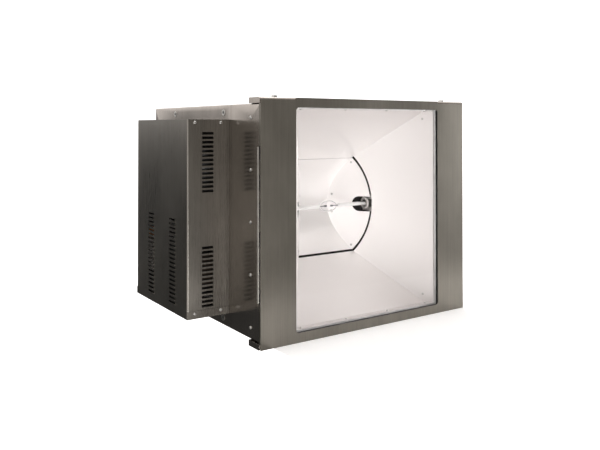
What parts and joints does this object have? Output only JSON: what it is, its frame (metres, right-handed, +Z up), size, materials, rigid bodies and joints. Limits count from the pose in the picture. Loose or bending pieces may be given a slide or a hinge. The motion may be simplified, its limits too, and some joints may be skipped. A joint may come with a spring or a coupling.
{
  "type": "grow lamp",
  "caption": "Stainless box grow lamp: hinged glass door, faceted reflector round a double-ended lamp, louvred control gear box on one side",
  "frame": {"origin": "centre of the bounding box's underside", "axes": "the glass door faces -Y, +X is to the right seen from the front, +Z is up"},
  "size_m": [0.7394, 0.5978, 0.5553],
  "materials": {
    "door_steel": "brushed stainless steel with a fine grain",
    "housing_steel": "brushed stainless steel with a fine grain",
    "gear_box_steel": "brushed stainless steel with a fine grain",
    "hinge_steel": "rolled stainless strip",
    "fastener_steel": "plain stainless fasteners",
    "tempered_glass": "clear toughened glass",
    "gasket_rubber": "black silicone rubber",
    "reflector_sheet": "bright anodised sheet, semi-specular",
    "galvanised_steel": "zinc-coated sheet",
    "black_steel": "sheet with a matt black heat-resistant coat",
    "quartz": "clear quartz",
    "tungsten": "dull tungsten",
    "lamp_base_metal": "nickel-plated base",
    "white_ceramic": "unglazed white ceramic",
    "core_lacquer": "dark lacquered lamination stack",
    "winding_insulation": "dark brown varnished winding",
    "igniter_plastic": "orange moulded case",
    "capacitor_aluminium": "drawn aluminium can",
    "gland_brass": "nickel-plated brass",
    "lead_silicone": "glass-braided silicone lead"
  },
  "bodies": {
    "housing": {"front_shell": "housing_steel", "rear_shell": "housing_steel", "rear_panel": "housing_steel", "gear_box_cover": "gear_box_steel", "gear_box_tray": "gear_box_steel", "gear_box_lid": "gear_box_steel", "hinge_housing_leaf": "hinge_steel", "hinge_pin": "hinge_steel", "shell_screws": "fastener_steel", "rear_panel_screws": "fastener_steel", "ledge_screws": "fastener_steel", "gear_box_screws": "fastener_steel", "gear_plate_spacers": "fastener_steel", "suspension_inserts": "fastener_steel", "lead_grommets": "gasket_rubber", "reflector_floor": "reflector_sheet", "reflector_roof": "reflector_sheet", "reflector_left": "reflector_sheet", "reflector_right": "reflector_sheet", "reflector_trough": "reflector_sheet", "end_plate_left": "reflector_sheet", "end_plate_right": "reflector_sheet", "reflector_rivets": "reflector_sheet", "reflector_frame": "galvanised_steel", "gear_plate": "galvanised_steel", "gear_bracket": "galvanised_steel", "lamp_clips": "galvanised_steel", "capacitor_clips": "galvanised_steel", "heat_shield": "black_steel", "lamp_upright_left": "black_steel", "lamp_upright_right": "black_steel", "lamp_quartz": "quartz", "lamp_electrodes": "tungsten", "lamp_bases": "lamp_base_metal", "lamp_collars": "white_ceramic", "lamp_holder_left": "white_ceramic", "lamp_holder_right": "white_ceramic", "terminal_blocks": "white_ceramic", "ballast_core": "core_lacquer", "ballast_winding": "winding_insulation", "igniter_case": "igniter_plastic", "capacitors": "capacitor_aluminium", "cable_gland": "gland_brass", "gland_nut": "gland_brass", "earth_stud": "gland_brass", "lamp_lead_left": "lead_silicone", "lamp_lead_right": "lead_silicone"},
    "door": {"door_frame": "door_steel", "door_top_channel": "door_steel", "door_bottom_channel": "door_steel", "glass_pane": "tempered_glass", "glass_gasket": "gasket_rubber", "glass_retainers": "galvanised_steel", "retainer_nuts": "fastener_steel", "hinge_door_leaf": "hinge_steel", "clamp_bolts": "fastener_steel", "clamp_nuts": "fastener_steel"}
  },
  "joints": [
    {"name": "door_hinge", "type": "hinge", "parent": "housing", "child": "door", "pos_m": [-0.26335, -0.2904, 0.271], "axis": [0, 0, -1], "range_deg": [0, 115]}
  ]
}
